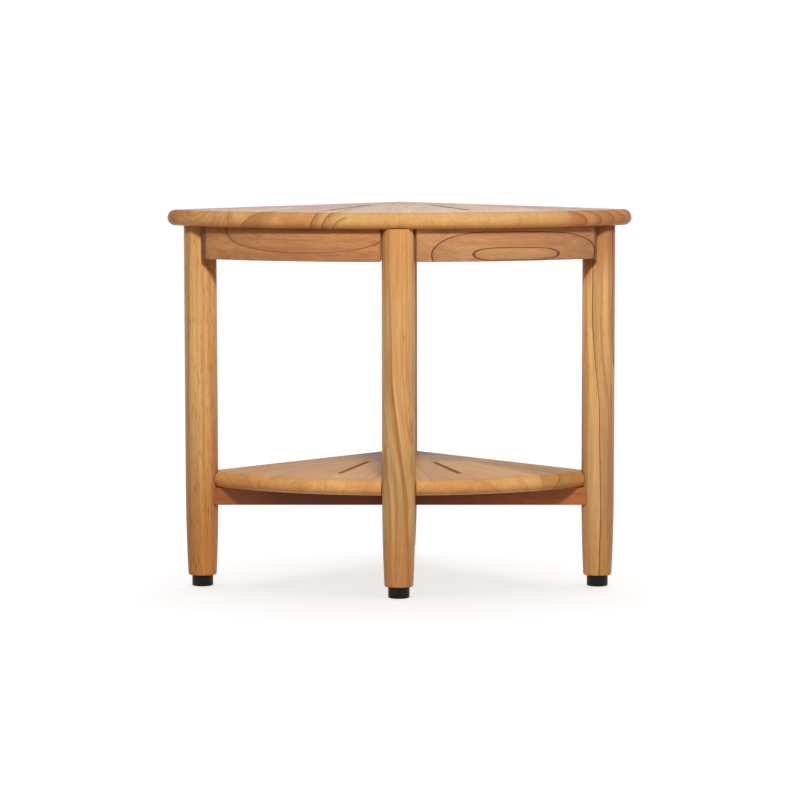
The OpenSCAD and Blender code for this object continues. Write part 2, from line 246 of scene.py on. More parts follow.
# %% [markdown]
# ## The lamps
# The shadow under the seat tells where the main lamp hung. It reaches 6 mm down the aprons, and on
# the round front leg it forms an arch with its top in the middle. So the lamp hung straight in
# front, 43 degrees above the seat's edge, and it was small enough to leave a clear edge. It hung
# close too, because the legs get darker towards the floor. It has no mirror image in the wood.
# The other lamps each light one thing, which light linking allows. A broad sun, high and a little
# behind, lights the floor, so its shadow lies under the front of the shelf as in the picture. Two
# warm fills come up from below in front, one for the seat's boards and a weaker one for the
# shelf's: they are the light that the floor and the legs throw back, and they keep the lower half
# of the round edges golden.

# %% Hang the lamps
SEAT_EDGE = Vector((0, -0.2, 0.447))
LAMP_LIFT = math.radians(43)
LAMP_WAY = Vector((0.06, -math.cos(LAMP_LIFT), math.sin(LAMP_LIFT)))
LAMP_DISTANCE = 1.7
LAMP_WIDTH = 0.30
LAMP_POWER = 31
SUN_WAY = (0, 0.2, 1)
SUN_SPREAD = math.radians(40)
SUN_POWER = 0.9
FILL_AT = (0.1, -1.5, -0.9)
FILL_AIM = (0, -0.19, 0.3)
FILL_WIDTH = 1.2
FILL_COLOUR = (1, 0.70, 0.40)
FILL_POWER = {"seat": 14, "shelf": 8}


def hang_lamp(name, kind, at, aim, power, **settings):
    """Hang a lamp at one place and turn it towards another."""
    light = bpy.data.lights.new(name, kind)
    light.energy = power
    for key, value in settings.items():
        setattr(light, key, value)
    lamp = put(name, light)
    lamp.location = at
    lamp.rotation_euler = (Vector(aim) - Vector(at)).to_track_quat("-Z", "Y").to_euler()
    return lamp


def link_light(lamp, things, state):
    """Let a lamp light these things alone, or everything but them, with no mirror image."""
    group = bpy.data.collections.new(lamp.name + " lights")
    for thing in things:
        group.objects.link(thing)
    for item in group.collection_objects:
        item.light_linking.link_state = state
    lamp.light_linking.receiver_collection = group
    lamp.visible_glossy = False


main_lamp = hang_lamp("soft lamp", "AREA", SEAT_EDGE + LAMP_DISTANCE * LAMP_WAY, SEAT_EDGE,
                      LAMP_POWER, shape="DISK", size=LAMP_WIDTH)
link_light(main_lamp, [floor], "EXCLUDE")
floor_sun = hang_lamp("floor sun", "SUN", SUN_WAY, (0, 0, 0), SUN_POWER, angle=SUN_SPREAD)
link_light(floor_sun, [floor], "INCLUDE")
for panel, power in FILL_POWER.items():
    fill = hang_lamp("warm fill under the " + panel, "AREA", FILL_AT, FILL_AIM, power,
                     shape="DISK", size=FILL_WIDTH, color=FILL_COLOUR)
    link_light(fill, [pieces[name] for name in pieces if panel + "_board_" in name], "INCLUDE")

# %% [markdown]
# ## The room
# The rest of the light comes from the room. It is brighter above than below, a little brighter on
# the right, and warm from below, where it has bounced off wood. Its back wall is white: the seat's
# top is seen so flat that it mirrors that wall, which is why it looks pink and pale beside its
# golden edge. All this is worked out from the direction in which a ray of light leaves the stool.
# What the camera itself sees of the room is plain white.

# %% Light the room
WARM = (1.0, 0.70, 0.42, 1)
PINK = (0.99, 0.94, 1.0, 1)
GLOW_ABOVE = 0.37
GLOW_BELOW = 0.23
GLOW_IN_FRONT = 0.07
WALL_GLOW = 1.9
LEFT_SHARE = 0.85
RIGHT_SHARE = 1.15
SEEN_GLOW = 1.02
# Where each change starts and ends: 1 is a ray straight up, or straight back to the wall
SKY_RISE = (-0.3, 0.6)
WARM_RISE = (-0.3, 0.1)
WALL_FOOT = (-0.35, -0.15)
WALL_TOP = (0.03, 0.26)
WALL_SIDES = (0.3, 0.8)
FRONT = (-0.9, -0.2)


def light_room():
    world = bpy.data.worlds.new("white room")
    world.use_nodes = True
    back = world.node_tree.nodes["Background"]
    bench = Bench(world.node_tree)
    way = bench.node("SeparateXYZ")
    bench.plug(bench.node("TexCoord").outputs["Generated"], way.inputs[0])
    x, y, z = way.outputs

    sky = bench.ramp(z, *SKY_RISE, GLOW_BELOW, GLOW_ABOVE)
    in_front = bench.ramp(y, *FRONT, GLOW_IN_FRONT, 0.0)
    lit_wall = bench.product(bench.ramp(z, *WALL_TOP, 1.0, 0.0), bench.ramp(z, *WALL_FOOT),
                             bench.ramp(y, *WALL_SIDES, 0.0, WALL_GLOW))
    glow = bench.maths("ADD", bench.maths("ADD", sky, lit_wall), in_front)
    glow = bench.product(glow, bench.ramp(x, -1.0, 1.0, LEFT_SHARE, RIGHT_SHARE))
    colour = bench.blend(bench.ramp(z, *WARM_RISE), WARM, WHITE)
    colour = bench.blend(lit_wall, colour, PINK)

    seen = bench.node("LightPath").outputs["Is Camera Ray"]
    bench.fill(back, {"Strength": bench.blend(seen, glow, SEEN_GLOW, kind="FLOAT"),
                      "Color": bench.blend(seen, colour, WHITE)})
    bpy.context.scene.world = world
    return world


room = light_room()
bpy.context.scene.view_settings.view_transform = "Standard"
print(room.name, "lit with", len(room.node_tree.nodes), "nodes")

# %% [markdown]
# ## Teak
# Every piece was cut from a trunk, so its figure isn't drawn on its faces: it goes right through.
# The material here does the same. It measures how far a point lies from the heart of the trunk,
# and turns that distance into rings. Where a face runs along the rings they make long lines,
# where it cuts across a bend they make arches, and at a board's end they show as arcs. One recipe
# serves every piece. This list says what a plain piece is like, and a piece that looks different
# names the values that differ. Widths are in metres, and colours are as a screen shows them.

# %% Describe plain teak
PLAIN_TEAK = dict(
    ring=0.012,               # how wide a ring is
    shift=0.0,                # how far all rings lie nearer to the heart, in ring widths
    bend=0.03,                # how soon the rings close along the grain
    squash=1.0,               # how wide the rings are for their height
    waver=0.003,              # how far the rings sway from true circles
    hook=None,                # a ramp along the grain, over which the heart moves sideways
    core=0.0,                 # no ring shows nearer to the heart than this
    rim=9.0,                  # and none farther away than this
    fade=None,                # a ramp across the piece, over which the rings come or go
    chance=0.6,               # how unequal the rings are: with 0 they are all as dark
    band_share=0.5,           # how dark the soft band of late wood is
    line_share=0.4,           # how dark the line at the band's end is
    line_width=0.12,          # how wide this line is, in ring widths
    fleck=0.2,                # how dark the pores are
    streaks=0.0,              # how dark the long streaks are
    pale=(198, 154, 96),      # the wood drifts between this tone
    deep=(184, 134, 80),      # and this one
    line=(112, 58, 28),       # the tone of lines and pores
    ends=(),                  # painted shade and painted light, each with its ramp along the grain
    contrast=(0.82, 1.14),    # how dark the darkest fibre is, and how light the lightest
    rough=(0.34, 0.52),       # how rough the smoothest fibre is, and the roughest
    gloss=0.4,                # how strong the sheen is
    seed=0.0)                 # picks this piece's own noise
print("plain teak has", len(PLAIN_TEAK), "values")

# %% [markdown]
# ## A point's place in its log
# Blender knows a point by its place in the room, but wood knows it by its place in the tree: how
# far along the grain it lies, and how far to the side of the heart and above it. A dot product
# with a direction gives each of these. Every noise in the wood is stretched by them too, because
# fibres run far along the grain and change fast across it.

# %% Find a point's place in its log
STANDING = 0.2       # a grain that leans less than this from upright gets the X axis as its side


def grain_axes(along):
    """Three directions at right angles: along the grain, and two across it."""
    lengthwise = Vector(along).normalized()
    side = Vector((0, 0, 1)).cross(lengthwise)
    side = side.normalized() if side.length > STANDING else Vector((1, 0, 0))
    return lengthwise, side, lengthwise.cross(side).normalized()


class Log(Bench):
    """A bench for the wood of one piece, which knows a point's place in the log."""

    def __init__(self, tree, along, heart, grain):
        super().__init__(tree)
        self.grain = grain
        away = self.vector("SUBTRACT", self.place(), tuple(heart))
        self.lengthwise, self.side, self.height = [
            self.vector("DOT_PRODUCT", away, tuple(axis)) for axis in grain_axes(along)]
        self.across = self.side
        if grain.hook:
            moved = self.ramp(self.lengthwise, *grain.hook)
            self.across = self.maths("SUBTRACT", self.side, moved)

    def figure(self, waves_along, waves_across, apart=0.0, detail=2.0, rough=0.5):
        """Noise with so many waves to a metre; how far apart they lie makes two noises differ."""
        start = self.grain.seed + apart
        at = self.join(self.maths("MULTIPLY_ADD", self.lengthwise, waves_along, start),
                       self.product(self.across, waves_across),
                       self.product(self.height, waves_across))
        return self.noise(at, detail, rough)


print("axes of a board that points to the front:", [tuple(a) for a in grain_axes((0, -1, 0))])

# %% [markdown]
# ## Rings
# A tree grows fast in the wet months and slowly after them, so each ring starts pale and ends in
# a dark line. The distance from the heart, counted in ring widths, holds all of that: its whole
# part numbers the ring, and the rest says how far through the year's growth a point lies. Two
# noises sway the distance, because no trunk is a true circle, and the ring's number picks how
# dark it is.

# %% Count the rings
SLOW_SWAY = dict(waves_along=5.0, waves_across=22.0)
QUICK_SWAY = dict(waves_along=16.0, waves_across=90.0, apart=7.0)
SWAY_SHARES = ((SLOW_SWAY, 2.0), (QUICK_SWAY, 0.5))
NOISE_MIDDLE = 0.5
CORE_SOFT = 0.003          # the rings start over this distance at the core
RIM_SOFT = 0.004           # and end over this one at the rim
BAND_START = 0.1           # where a year's late wood starts to darken, in ring widths
LINE_BACK = 0.97           # the dark line's width is counted back from here
LINE_FULL = 0.965          # where the line is darkest
LINE_END = 0.972           # where it starts to fall off to the next year's pale wood


def heart_distance(log):
    grain = log.grain
    distance = log.vector("LENGTH", log.join(log.product(log.lengthwise, grain.bend), log.across,
                                             log.product(log.height, grain.squash)))
    for sway, share in SWAY_SHARES:
        swing = log.maths("SUBTRACT", log.figure(**sway), NOISE_MIDDLE)
        distance = log.maths("MULTIPLY_ADD", swing, grain.waver * share, distance)
    return distance


def ring_strength(log, distance, count):
    """How dark a ring is: by its number, and none inside the core or outside the rim."""
    grain = log.grain
    number = log.node("TexWhiteNoise", noise_dimensions="1D")
    log.fill(number, {"W": log.maths("ADD", log.maths("FLOOR", count), grain.seed)})
    strength = log.product(
        log.maths("MULTIPLY_ADD", number.outputs["Value"], -grain.chance, 1.0),
        log.ramp(distance, grain.core - CORE_SOFT, grain.core),
        log.ramp(distance, grain.rim, grain.rim + RIM_SOFT, 1.0, 0.0))
    if grain.fade:
        strength = log.product(strength, log.ramp(log.side, *grain.fade))
    return strength


def ring_marks(log, distance):
    """The soft band of late wood, and the thin line at its end."""
    count = log.maths("MULTIPLY_ADD", distance, 1 / log.grain.ring, log.grain.shift)
    year = log.maths("FRACT", count)
    strength = ring_strength(log, distance, count)
    fall = log.ramp(year, LINE_END, 1.0, 1.0, 0.0)
    band = log.product(log.ramp(year, BAND_START, 1.0), fall, strength)
    line = log.product(log.ramp(year, LINE_BACK - log.grain.line_width, LINE_FULL), fall, strength)
    return band, line


darkening = (LINE_END - BAND_START) * PLAIN_TEAK["ring"]
print("a plain ring darkens over", round(darkening * 1000, 1), "mm")

# %% [markdown]
# ## The colour of the wood
# Oiled teak is never one brown. It drifts from pale to deep in slow clouds, its late wood and its
# streaks are darker, and single fibres are lighter or darker than their neighbours. The colour is
# laid down in that order, like coats of stain, and the pores come last because they are holes.
# Colours are picked on a screen, which shows light in a bent scale, so each one is straightened
# first.

# %% Colour the wood
CLOUDS = dict(waves_along=3.5, waves_across=26.0, apart=19.0)
LONG_STREAKS = dict(waves_along=2.2, waves_across=170.0, apart=23.0, detail=3.0, rough=0.6)
STREAKS = dict(waves_along=5.0, waves_across=160.0, apart=5.0)
FIBRE_SHARE = 0.6
STREAK_SHARE = 0.4
BAND_SHADE = (0.78, 0.78, 0.78)
STREAK_SHADE = (0.84, 0.74, 0.64)
CLOUD_LIMITS = (0.32, 0.68)
LONG_STREAK_LIMITS = (0.42, 0.66)
FIBRE_LIMITS = (0.3, 0.7)
CORE_CLOUD = 0.25          # how strong the clouds still are at the core
FADED_CLOUD = 0.4          # and where the rings have faded


def linear(tone):
    """A colour as a screen shows it, 0 to 255, as the light it stands for."""
    def one(value):
        value /= 255
        return value / 12.92 if value <= 0.04045 else ((value + 0.055) / 1.055) ** 2.4
    return tuple(one(value) for value in tone) + (1.0,)


def darker(tone, shares):
    return [value * share for value, share in zip(tone, shares)]


def clouded_tone(log, distance):
    grain = log.grain
    cloud = log.ramp(log.figure(**CLOUDS), *CLOUD_LIMITS)
    if grain.core:
        at_core = log.ramp(distance, grain.core - CORE_SOFT, grain.core, CORE_CLOUD, 1.0)
        cloud = log.product(cloud, at_core)
        if grain.fade:
            cloud = log.product(cloud, log.ramp(log.side, *grain.fade[:2], 1.0, FADED_CLOUD))
    return log.blend(cloud, linear(grain.pale), linear(grain.deep))


def wood_colour(log, distance, band, line, fibre, pores):
    grain = log.grain
    colour = clouded_tone(log, distance)
    colour = log.blend(log.product(band, grain.band_share), colour,
                       linear(darker(grain.deep, BAND_SHADE)))
    if grain.streaks:
        streak = log.ramp(log.figure(**LONG_STREAKS), *LONG_STREAK_LIMITS)
        colour = log.blend(log.product(streak, grain.streaks), colour,
                           linear(darker(grain.deep, STREAK_SHADE)))
    # painted shade and painted light, ramped along the grain near a piece's ends
    for end, tone in grain.ends:
        colour = log.blend(log.ramp(log.lengthwise, *end), colour, linear(tone))
    fine = log.maths("ADD", log.product(fibre, FIBRE_SHARE),
                     log.product(log.figure(**STREAKS), STREAK_SHARE))
    shade = log.ramp(fine, *FIBRE_LIMITS, *grain.contrast)
    colour = log.blend(1.0, colour, log.join(shade, shade, shade), how="MULTIPLY")
    for mark, share in ((line, grain.line_share), (pores, grain.fleck)):
        colour = log.blend(log.product(mark, share), colour, linear(grain.line))
    return colour


print("the palest plain teak, as light:", [round(v, 3) for v in linear(PLAIN_TEAK["pale"])])

# %% [markdown]
# ## The recipe
# Sanded and oiled teak still has a surface: fibres stand up a little, pores are small grooves and
# late wood is hard and smooth. They are far too fine to model, so a bump does it, a relief that
# only bends the light. The same fibres set how rough the surface is, so colour, relief and sheen
# belong together.

# %% Put the teak together
FIBRES = dict(waves_along=14.0, waves_across=620.0, apart=3.0, detail=3.0, rough=0.6)
PORES = dict(waves_along=70.0, waves_across=780.0, apart=11.0, detail=1.0)
PORE_LIMITS = (0.58, 0.72)
ROUGH_LIMITS = (0.25, 0.75)
PORE_DEPTH = 0.5           # against a fibre's height, which is FIBRE_SHARE
LINE_DEPTH = 0.25
OIL_IOR = 1.47
WOOD_RELIEF = dict(strength=0.22, depth=0.0004)


def teak(name, along, heart, **own):
    """Teak for one piece, from a log that lay in this direction with its heart at this place."""
    material = paint(name)
    grain = SimpleNamespace(**{**PLAIN_TEAK, **own})
    log = Log(material.node_tree, along, heart, grain)
    distance = heart_distance(log)
    band, line = ring_marks(log, distance)
    fibre = log.figure(**FIBRES)
    pores = log.ramp(log.figure(**PORES), *PORE_LIMITS)
    hollow = log.maths("MULTIPLY_ADD", pores, PORE_DEPTH, log.product(line, LINE_DEPTH))
    relief = log.maths("SUBTRACT", log.product(fibre, FIBRE_SHARE), hollow)
    log.finish({"Base Color": wood_colour(log, distance, band, line, fibre, pores),
                "Roughness": log.ramp(fibre, *ROUGH_LIMITS, *grain.rough),
                "IOR": OIL_IOR, "Specular IOR Level": grain.gloss}, relief, **WOOD_RELIEF)
    return material


print("teak recipe ready, with a relief", WOOD_RELIEF["depth"] * 1000, "mm deep")

# %% [markdown]
# ## One log for each board
# A maker picks boards so that the figure suits the place. The boards of the seat and the shelf
# run from the wall corner to the front, each along its own middle, so the curved front edge cuts
# across their fibres and shows the rings' ends. Each board says how far it is turned from the
# middle of the stool, and how far aside of its own middle line and below it the heart of its log
# lay. Most of them are plain; the ones at the seat's edge carry the bends and arcs that the
# photograph shows there.

# %% Pick the logs of the seat's boards
SEAT_BOARDS = {
    "left_outer": dict(
        turn=-37.5, aside=0.001, below=-0.0238, ring=0.007, shift=0.922, waver=0.0015,
        band_share=0.4, line_share=0.3, line_width=0.15,
        pale=(200, 150, 92), deep=(174, 120, 70)),
    "left_middle": dict(
        turn=-22.5, aside=0.0108, below=0.0523, ring=0.03, shift=0.842, rim=0.066,
        fade=(-0.014, 0.004, 1.0, 0.0), waver=0.0015, chance=0.0,
        band_share=0.6, line_share=0.5, line_width=0.025, deep=(184, 126, 72)),
    "left_inner": dict(
        turn=-7.5, aside=-0.0013, below=0.0214, ring=0.0125, shift=0.797, core=0.0265,
        fade=(-0.012, 0.0, 1.0, 0.0), waver=0.0012, chance=0.4,
        band_share=0.6, line_share=0.75, line_width=0.15,
        pale=(199, 156, 97), deep=(186, 130, 76)),
    "right_inner": dict(
        turn=7.5, aside=0.05, below=0.06, core=0.3, pale=(199, 156, 97)),
    "right_middle": dict(
        turn=22.5, aside=-0.0216, below=0.001, ring=0.046, shift=0.791, rim=0.012,
        fade=(0.0, 0.006, 0.0, 1.0), band_share=0.1, line_share=0.3, line_width=0.03,
        pale=(200, 157, 99), deep=(194, 146, 88)),
    "right_outer": dict(
        turn=37.5, aside=-0.15, below=0.05, ring=0.0178, shift=0.772, waver=0.002,
        hook=(0.058, 0.158, 0.0, 0.087), chance=0.3,
        band_share=0.8, line_share=0.3, line_width=0.2,
        pale=(206, 156, 96), deep=(184, 122, 74)),
}
print("logs for the seat:", list(SEAT_BOARDS))

# %% [markdown]
# ## The shelf's boards
# The shelf's boards are plainer than the seat's: what shows of their rings lies far from the
# heart, as a few wide arcs, which are faint on all of them but the right outer one.

# %% Pick the logs of the shelf's boards
SHELF_BOARDS = {
    "left_outer": dict(
        turn=-37.5, aside=-0.05, below=0.06, ring=0.021, band_share=0.2, line_share=0.12,
        pale=(212, 164, 100), deep=(200, 142, 82)),
    "left_middle": dict(
        turn=-22.5, aside=0.06, below=0.05, ring=0.026, band_share=0.15, line_share=0.1,
        pale=(212, 164, 100), deep=(202, 144, 84)),
    "left_inner": dict(
        turn=-7.5, aside=0.07, below=0.03, ring=0.024, band_share=0.15, line_share=0.1,
        pale=(220, 168, 104), deep=(208, 150, 90)),
    "right_inner": dict(
        turn=7.5, aside=0.05, below=0.06, ring=0.030, band_share=0.2, line_share=0.12,
        pale=(210, 160, 97), deep=(204, 148, 86)),
    "right_middle": dict(
        turn=22.5, aside=-0.05, below=0.05, ring=0.030, band_share=0.2, line_share=0.12,
        pale=(216, 166, 101), deep=(206, 149, 89)),
    "right_outer": dict(
        turn=37.5, aside=0.04, below=0.035, ring=0.040, shift=0.2,
        band_share=0.4, line_share=0.35, line_width=0.06,
        pale=(200, 150, 86), deep=(184, 130, 72)),
}
print("logs for the shelf:", list(SHELF_BOARDS))

# %% [markdown]
# ## How a piece gets its finish
# The packed solids come without a finish, and a material hangs on a piece's mesh, in a slot. Where
# a piece stands is asked of the packed model, so its log moves along if the piece does.

# %% Dress a piece
def dress(name, material):
    """Give a packed piece this material and no other."""
    mesh = pieces[name].data
    mesh.materials.clear()
    mesh.materials.append(material)


def dress_in_teak(name, along, heart, **grain):
    dress(name, teak(name + " teak", along, heart, **grain))


def middle(name):
    """The middle of a packed piece's box."""
    low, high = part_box(name)
    return (Vector(low) + Vector(high)) / 2


print("middle of the seat's boards at z =", round(middle("seat_corner_block").z, 4))

# %% [markdown]
# ## Both fans
# All boards of a fan point at its wall corner, as it would be if it weren't rounded off. So that
# corner is worked out once for each fan, and a board's log is placed from there. The seat is worn
# smoother than the shelf, because people sit on it. The block at the corner has its grain from
# side to side, across the boards.

# %% Dress both fans
FAN_RADIUS = 0.408              # the seat's straight sides, from the corner to the front
CORNER_ROUND = 0.020
SHELF_SET_BACK = 0.032          # how far the shelf's straight sides lie inside the seat's
SEAT_CORNER_Y = (FAN_RADIUS + CORNER_ROUND * (math.sqrt(2) - 1)) / 2
SHELF_CORNER_Y = SEAT_CORNER_Y - SHELF_SET_BACK * math.sqrt(2)
LOG_START = 0.3                 # where a board's log counts from, out from the corner
BLOCK_HEART = Vector((0.05, -0.08, -0.06))
BLOCK_RING = 0.011
SEED_STEP = 3.7
BLOCK_SEED = 40
SEAT_ROUGH = (0.24, 0.42)
SHELF_ROUGH = (0.36, 0.54)
CALM = (0.88, 1.08)             # boards show their fibres less than legs do


def dress_board(name, corner, turn, aside, below, **grain):
    """Teak for a board that is turned so many degrees from the middle of the stool."""
    turn = math.radians(turn)
    along = Vector((math.sin(turn), -math.cos(turn), 0))
    sideways = Vector((-along.y, along.x, 0))
    heart = corner + along * LOG_START + sideways * aside - Vector((0, 0, below))
    dress_in_teak(name, along, heart, contrast=CALM, **grain)


def dress_fan(panel, boards, corner_y, rough, seed):
    block = panel + "_corner_block"
    corner = Vector((0, corner_y, middle(block).z))
    for k, (place, board) in enumerate(boards.items()):
        dress_board(panel + "_board_" + place, corner, rough=rough,
                    seed=seed + SEED_STEP * k, **board)
    dress_in_teak(block, (1, 0, 0), corner + BLOCK_HEART, ring=BLOCK_RING, line_share=0.3,
                  rough=rough, seed=seed + BLOCK_SEED)


dress_fan("seat", SEAT_BOARDS, SEAT_CORNER_Y, SEAT_ROUGH, 1.0)
dress_fan("shelf", SHELF_BOARDS, SHELF_CORNER_Y, SHELF_ROUGH, 60.0)
print("corners at y =", round(SEAT_CORNER_Y, 4), "and", round(SHELF_CORNER_Y, 4))
block_teak = pieces["seat_corner_block"].active_material
print("nodes in", block_teak.name + ":", len(block_teak.node_tree.nodes))

# %% [markdown]
# ## The legs
# A leg stands up along its grain, so its rings show as long lines. Where a branch once pushed the
# fibres aside the lines bend: the hook moves the heart sideways over a short stretch of height,
# which gives the front leg its slanting streaks and the right one its dark seam. Near the floor
# the left, right and front legs are painted darker and redder: painted shade for the dim, warm
# light down there. Just under the seat the right leg gets painted shade where the seat's tip
# shades it, and the front leg is darker and redder there too. Legs aren't worn by use, so their
# sheen is dull.

# %% Dress the legs
LEGS = {
    "left": dict(
        lean=0.003, aside=-0.03, behind=0.06, ring=0.013, band_share=0.2, line_share=0.12,
        fleck=0.45, streaks=0.35, pale=(224, 174, 112), deep=(210, 152, 92),
        # painted shade: darker and redder towards the floor
        ends=[((-0.02, -0.16, 0.0, 0.85), (206, 134, 69))]),
    "right": dict(
        lean=-0.008, aside=0.045, behind=-0.01, ring=0.0235, shift=0.054, chance=0.0,
        hook=(0.0, 0.13, 0.0, -0.008), waver=0.004, band_share=0.6, line_share=0.7,
        line_width=0.06, streaks=0.7, pale=(236, 185, 120), deep=(225, 173, 118),
        # painted shade towards the floor, and painted shade of the seat's tip at the top
        ends=[((-0.08, -0.17, 0.0, 0.6), (212, 149, 87)),
              ((0.16, 0.225, 0.0, 0.75), (170, 109, 66))]),
    "front": dict(
        lean=0.0, aside=-0.031, behind=0.0, ring=0.036, shift=-0.255, chance=0.0,
        hook=(-0.10, 0.08, 0.0, -0.018), waver=0.005, band_share=0.4, line_share=0.2,
        line_width=0.08, streaks=0.65, pale=(230, 193, 128), deep=(214, 157, 98),
        # painted shade towards the floor, and darker and redder just under the seat
        ends=[((-0.09, -0.15, 0.0, 0.8), (208, 144, 85)),
              ((0.14, 0.21, 0.0, 0.5), (196, 136, 80))]),
    "back": dict(
        lean=0.0, aside=0.03, behind=0.04, band_share=0.4, line_share=0.3, streaks=0.4),
}
LEG_LOG_START = 0.2             # the height from which a leg's log counts
LEG_BEND = 0.02
LEG_GLOSS = 0.15


def dress_leg(place, lean, aside, behind, **grain):
    name = "leg_" + place
    at = middle(name)
    dress_in_teak(name, (lean, 0, 1), (at.x + aside, at.y + behind, LEG_LOG_START),
                  bend=LEG_BEND, gloss=LEG_GLOSS, **grain)


for k, (place, leg) in enumerate(LEGS.items()):
    dress_leg(place, seed=200 + 13 * k, **leg)
print("legs dressed:", list(LEGS))

# %% [markdown]
# ## The aprons
# Each curved apron was sawn out of a straight plank, and the saw's curve cut through the rings. On
# the right one that made a tall arch with a small oval inside it, on the left one a wide bowl.
# Rings round a straight heart give both figures without drawing them. The right apron's heart
# touches its face, whose curve cuts the rings in long flat ovals. These rings are taller than
# they are wide, which makes the ovals as tall as the real ones. The left apron's heart lies 17 mm
# in front of its face.

# %% Dress the curved aprons
APRON_FACE_RADIUS = 0.396
PAINTED_JOINT_SHADE = (84, 40, 22)       # painted shade in the crease where an apron meets a leg
APRON = dict(line=(84, 36, 20), bend=0.0, chance=0.0)
LEFT_TONE = dict(streaks=0.35, pale=(198, 138, 87), deep=(187, 125, 76))
RIGHT_TONE = dict(streaks=0.2, pale=(206, 152, 104), deep=(190, 134, 88))


def dress_curved_apron(place, turn, in_front, height, **grain):
    """Teak for a curved apron, whose log's heart passes this far in front of its face."""
    turn = math.radians(turn)
    radius = APRON_FACE_RADIUS + in_front
    heart = (radius * math.sin(turn), SEAT_CORNER_Y - radius * math.cos(turn), height)
    along = (math.cos(turn), math.sin(turn), 0)
    dress_in_teak("front_apron_" + place, along, heart, **APRON, **grain)


dress_curved_apron(
    "right", turn=21.0, in_front=0.0, height=0.4075, ring=0.0101, shift=0.569, core=0.0042,
    rim=0.016, squash=0.53, waver=0.002, band_share=0.2, line_share=0.95, line_width=0.055,
    # both ends of this apron get painted shade in the creases at the legs
    ends=[((-0.1222, -0.1206, 0.8, 0.0), PAINTED_JOINT_SHADE), ((0.1022, 0.1036, 0.0, 0.6), PAINTED_JOINT_SHADE)],
    seed=300, **RIGHT_TONE)
dress_curved_apron(
    "left", turn=-16.9, in_front=0.0172, height=0.4338, ring=0.0345, shift=0.104,
    rim=0.036, waver=0.0022, band_share=0.2, line_share=0.45, line_width=0.02,
    # both ends of this apron get painted shade in the creases at the legs
    ends=[((0.0940, 0.0956, 0.0, 0.8), PAINTED_JOINT_SHADE), ((-0.1285, -0.1268, 0.7, 0.0), PAINTED_JOINT_SHADE)],
    seed=320, **LEFT_TONE)
print("curved aprons dressed, with faces", APRON_FACE_RADIUS, "m from the seat's corner")

# %% [markdown]
# ## Straight aprons, rails and dowels
# The straight aprons have the left apron's tones. The rails lie in the shade under the shelf, and
# their wood is the darkest of all: dark wood with painted shade for the shelf's shadow on top. The
# one from side to side gets painted light towards both of its ends, where it meets the legs and
# the lamp reaches it past the shelf. The dowels are raw wood of a pale, fine grained kind, which
# the same recipe gives with thin rings and other tones.

# %% Dress the straight aprons, the rails and the dowels
BACK_APRONS = {"left": (1, 1, 0), "right": (1, -1, 0)}
BACK_APRON_HEART = (0, 0, 0.35)
# the rails' tones are their own dark wood with painted shade of the shelf's shadow mixed in
RAIL_TONE_AND_SHADE = dict(pale=(146, 78, 40), deep=(126, 63, 31), line=(70, 30, 16))
for k, (place, along) in enumerate(BACK_APRONS.items()):
    dress_in_teak("back_apron_" + place, along, BACK_APRON_HEART, seed=340 + 9 * k,
                  **APRON, **LEFT_TONE)
# the cross rail's ends are painted light, where the lamp reaches past the shelf's shadow
dress_in_teak("cross_rail", (1, 0, 0), (0, -0.05, 0.06), seed=360,
              ends=[((-0.13, -0.19, 0.0, 0.8), (172, 100, 52)),
                    ((0.05, 0.19, 0.0, 0.8), (196, 118, 60))], **RAIL_TONE_AND_SHADE)
dress_in_teak("centre_rail", (0, 1, 0), (0.03, 0, 0.06), seed=370, **RAIL_TONE_AND_SHADE)
for name in ("seat_dowels", "shelf_dowels"):
    dress(name, teak(name + " wood", (0, 1, 0), (0, 0, 0), ring=0.004, line_share=0.1,
                     pale=(226, 196, 150), deep=(214, 180, 132), seed=380))
print("bars and dowels dressed")

# %% [markdown]
# ## Metal and rubber
# The feet are moulded from black rubber, so they are matte, with the fine pitting of the mould.
# The studs, the screws and the inserts are plain metals. None of them is a mirror, so each one
# gets fine turning marks in its roughness, which are noise that is squashed along its axis.

# %% Mix metal and rubber
TURNING_MARKS = (300.0, 300.0, 5200.0)       # waves to a metre, along each axis
MARK_SHADE = (0.82, 0.82, 0.82)
MARK_ROUGH = 0.08                            # how much the marks change the roughness
PITS = (2600.0, 2600.0, 2600.0)
DUST = (160.0, 160.0, 160.0)
BLACK = (9, 8, 11)
DUSTY_BLACK = (16, 14, 18)
NOISE_LIMITS = (0.3, 0.7)
DUST_LIMITS = (0.4, 0.7)
RUBBER_ROUGH = (0.42, 0.62)


def metal(name, tone, rough):
    material = paint(name)
    bench = Bench(material.node_tree)
    marks = bench.noise(bench.vector("MULTIPLY", bench.place(), TURNING_MARKS))
    bench.finish({
        "Base Color": bench.blend(marks, linear(tone), linear(darker(tone, MARK_SHADE))),
        "Metallic": 1.0,
        "Roughness": bench.ramp(marks, *NOISE_LIMITS, rough - MARK_ROUGH, rough + MARK_ROUGH),
    }, marks, strength=0.1, depth=0.0001)
    return material


def rubber(name):
    material = paint(name)
    bench = Bench(material.node_tree)
    pits = bench.noise(bench.vector("MULTIPLY", bench.place(), PITS))
    dust = bench.noise(bench.vector("MULTIPLY", bench.place(), DUST), 3.0)
    dusty = bench.ramp(dust, *DUST_LIMITS)
    bench.finish({
        "Base Color": bench.blend(dusty, linear(BLACK), linear(DUSTY_BLACK)),
        "Roughness": bench.ramp(pits, *NOISE_LIMITS, *RUBBER_ROUGH),
        "Specular IOR Level": 0.3,
    }, pits, strength=0.15, depth=0.0001)
    return material


